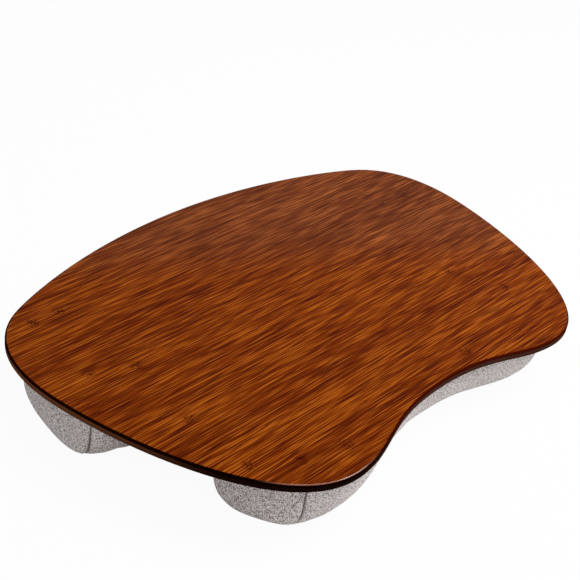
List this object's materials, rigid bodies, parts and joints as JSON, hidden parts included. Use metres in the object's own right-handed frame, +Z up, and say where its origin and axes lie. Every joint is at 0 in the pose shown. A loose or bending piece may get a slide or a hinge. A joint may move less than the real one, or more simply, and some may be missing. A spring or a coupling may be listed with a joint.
{
  "type": "lap desk",
  "caption": "Lap desk: a flat bamboo board with a waist cut-out in its front edge, resting on two long fabric-covered foam cushions.",
  "frame": {"origin": "on the surface that the cushions rest on, under the middle of the board", "axes": "+X to the user's right, +Y away from the user, +Z up"},
  "size_m": [0.57, 0.389, 0.065],
  "materials": {
    "bamboo_face": "red-brown stained bamboo with fine streaks, satin lacquer",
    "bamboo_core": "red-brown edge of the middle ply, darker in front, satin lacquer",
    "bamboo_back": "dark stained bamboo, satin lacquer",
    "hardboard": "bare brown hardboard",
    "cushion_cloth": "light grey plain-weave linen look",
    "cushion_foam": "open-cell foam",
    "zinc_steel": "zinc plated"
  },
  "bodies": {
    "root": {"face_ply": "bamboo_face", "core_ply": "bamboo_core", "back_ply": "bamboo_back", "front_mount_panel": "hardboard", "front_foam": "cushion_foam", "front_cover_wrap": "cushion_cloth", "front_cover_left_end": "cushion_cloth", "front_cover_right_end": "cushion_cloth", "front_washer_1": "zinc_steel", "front_washer_2": "zinc_steel", "front_washer_3": "zinc_steel", "front_washer_4": "zinc_steel", "front_washer_5": "zinc_steel", "front_washer_6": "zinc_steel", "front_screw_1": "zinc_steel", "front_screw_2": "zinc_steel", "front_screw_3": "zinc_steel", "front_screw_4": "zinc_steel", "front_screw_5": "zinc_steel", "front_screw_6": "zinc_steel", "back_mount_panel": "hardboard", "back_foam": "cushion_foam", "back_cover_wrap": "cushion_cloth", "back_cover_left_end": "cushion_cloth", "back_cover_right_end": "cushion_cloth", "back_washer_1": "zinc_steel", "back_washer_2": "zinc_steel", "back_washer_3": "zinc_steel", "back_washer_4": "zinc_steel", "back_washer_5": "zinc_steel", "back_washer_6": "zinc_steel", "back_screw_1": "zinc_steel", "back_screw_2": "zinc_steel", "back_screw_3": "zinc_steel", "back_screw_4": "zinc_steel", "back_screw_5": "zinc_steel", "back_screw_6": "zinc_steel"}
  },
  "joints": []
}
